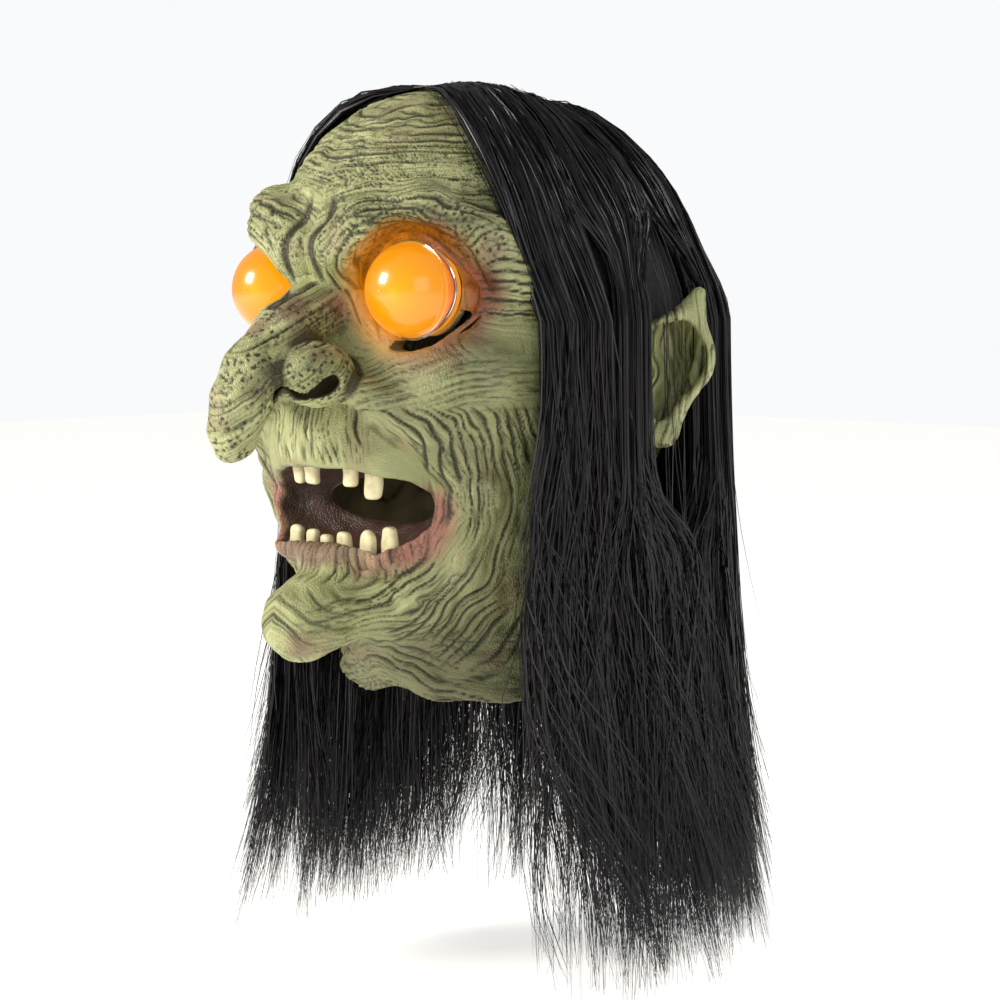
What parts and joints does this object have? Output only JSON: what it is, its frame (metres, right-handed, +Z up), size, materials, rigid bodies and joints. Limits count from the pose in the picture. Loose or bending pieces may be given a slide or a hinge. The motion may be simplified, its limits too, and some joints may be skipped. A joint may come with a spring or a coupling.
{
  "type": "full-head costume mask",
  "caption": "Full-head latex costume mask with a hooked nose, open mouth, light-up globe eyes, pointed ears and a sewn-in wig of long straight hair.",
  "frame": {"origin": "centre of the neck opening, in the plane of the skirt's lower edge", "axes": "+Z up towards the crown, -Y the way the face looks, +X the mask's own left"},
  "size_m": [0.23, 0.3049, 0.413],
  "materials": {
    "latex": "cast natural latex, hand painted sage green with darker creases, matt",
    "tooth": "latex teeth painted stained ivory, satin",
    "eye_globe": "translucent amber globe lit from inside, polished",
    "black_plastic": "moulded, fine spark texture",
    "led": "clear epoxy lens, lit warm",
    "board": "green solder mask",
    "lead": "soft PVC insulation",
    "foam": "closed-cell foam tape",
    "steel": "nickel plated",
    "brass": "sprung strip",
    "white_plastic": "moulded",
    "wig_net": "black stretch net",
    "parting": "stitched black tape",
    "hair": "long straight synthetic fibre, semi-gloss, near black with faint plum and silver lights"
  },
  "bodies": {
    "mask": {"latex_skin": "latex", "left_ear": "latex", "right_ear": "latex", "upper_teeth": "tooth", "lower_teeth": "tooth", "left_eye_globe": "eye_globe", "right_eye_globe": "eye_globe", "left_eye_barrel": "black_plastic", "right_eye_barrel": "black_plastic", "left_led": "led", "right_led": "led", "left_led_board": "board", "right_led_board": "board", "left_eye_lead": "lead", "right_eye_lead": "lead", "battery_case": "black_plastic", "case_pad": "foam", "button_cells": "steel", "case_contact": "brass", "switch_body": "steel", "wig_cap": "wig_net", "parting_tape": "parting", "left_crown_hair": "hair", "right_crown_hair": "hair", "left_side_hair": "hair", "right_side_hair": "hair", "back_hair": "hair"},
    "switch": {"switch_knob": "white_plastic"},
    "cover": {"battery_cover": "black_plastic", "cover_contact": "brass"},
    "screw": {"cover_screw": "steel"}
  },
  "joints": [
    {"name": "switch_slide", "type": "slide", "parent": "mask", "child": "switch", "axis": [-1, 0, 0], "range_m": [0, 0.003]},
    {"name": "cover_pull", "type": "slide", "parent": "mask", "child": "cover", "axis": [0, -1, 0], "range_m": [0, 0.02]},
    {"name": "screw_turn", "type": "hinge", "parent": "cover", "child": "screw", "pos_m": [0.0187, 0.05, 0.0567], "axis": [0, 1, 0], "continuous": true}
  ]
}
